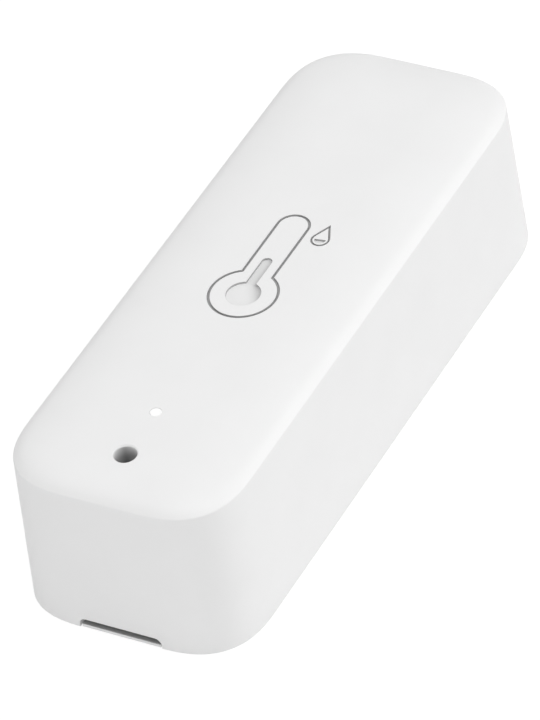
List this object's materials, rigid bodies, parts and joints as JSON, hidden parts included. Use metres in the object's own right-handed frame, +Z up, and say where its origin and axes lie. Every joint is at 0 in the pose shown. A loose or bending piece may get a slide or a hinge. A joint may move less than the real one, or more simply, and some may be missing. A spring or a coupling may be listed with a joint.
{
  "type": "temperature humidity sensor",
  "caption": "Small free-standing battery sensor that measures room air temperature and humidity, with a clip-fit back cover, reset button and status light.",
  "frame": {"origin": "centre of the underside, on the surface that the sensor stands on", "axes": "+Y along the length from the pry slot's end to the far end, +X across the width, +Z up out of the crown"},
  "size_m": [0.025, 0.0704, 0.0185],
  "materials": {
    "case_white": "satin moulded",
    "cover_white": "satin moulded",
    "light_guide": "milky clear, polished end",
    "tray_plastic": "fine matt",
    "board_green": "solder mask",
    "module_blue": "solder mask",
    "chip_black": "moulded epoxy",
    "switch_black": "fine matt",
    "steel_sheet": "rolled",
    "contact_nickel": "nickel plated",
    "antenna_gold": "gold flash",
    "led_yellow": "clear resin",
    "capacitor_tan": "moulded",
    "ceramic_tan": "ceramic",
    "cell_jacket": "printed film"
  },
  "bodies": {
    "back": {"back_cover": "cover_white", "snap_arms": "cover_white"},
    "housing": {"top_housing": "case_white", "light_pipe": "light_guide", "circuit_board": "board_green", "status_led": "led_yellow", "switch_body": "switch_black", "switch_cover": "steel_sheet", "radio_board": "module_blue", "radio_can": "steel_sheet", "radio_antenna": "antenna_gold", "sensor_chip": "chip_black", "voltage_regulator": "chip_black", "bulk_capacitor": "capacitor_tan", "crystal": "steel_sheet", "chip_passives": "ceramic_tan", "battery_tray": "tray_plastic", "tray_screws": "steel_sheet", "cell_left": "cell_jacket", "cell_right": "cell_jacket", "positive_contact": "contact_nickel", "negative_contact": "contact_nickel", "negative_spring": "contact_nickel", "bridge_contact": "contact_nickel", "bridge_spring": "contact_nickel"},
    "reset_button": {"switch_plunger": "switch_black"}
  },
  "joints": [
    {"name": "housing_lift", "type": "slide", "parent": "back", "child": "housing", "axis": [0, 0, 1], "range_m": [0, 0.02]},
    {"name": "reset_press", "type": "slide", "parent": "housing", "child": "reset_button", "axis": [0, 0, -1], "range_m": [0, 0.00025], "stiffness_N_per_m": 4000, "springref_m": -0.0001}
  ]
}
